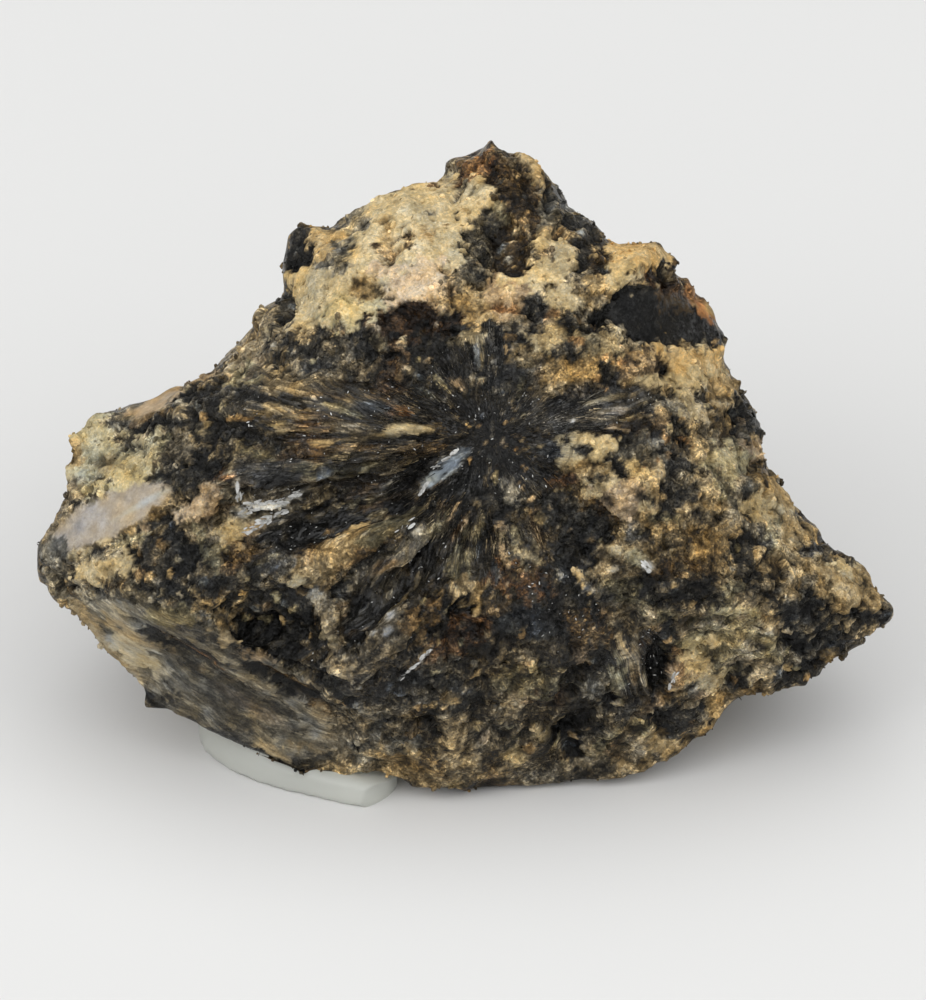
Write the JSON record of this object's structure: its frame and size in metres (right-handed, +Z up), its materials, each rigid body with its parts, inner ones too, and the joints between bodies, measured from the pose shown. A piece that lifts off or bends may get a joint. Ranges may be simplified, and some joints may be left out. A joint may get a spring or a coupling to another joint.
{
  "type": "manganonordite mineral specimen",
  "caption": "Broken chip of granular rock with a radiating star of dark needle crystals on its face, propped on a lump of clear mounting gel.",
  "frame": {"origin": "on the resting plane, straight below the centre of the crystal star", "axes": "+X to the right across the display face, +Y towards the back, +Z up; the display face looks towards -Y and leans back 35 degrees"},
  "size_m": [0.0416, 0.0265, 0.0261],
  "materials": {
    "crystal_rock": "dark brown to black needle crystals with a dull to glassy shine, in a rough tan, cream and black granular matrix",
    "clear_gel": "soft, translucent pale grey-green mounting gel with a smooth wet shine"
  },
  "bodies": {
    "root": {"rock": "crystal_rock", "mounting_gel": "clear_gel"}
  },
  "joints": []
}
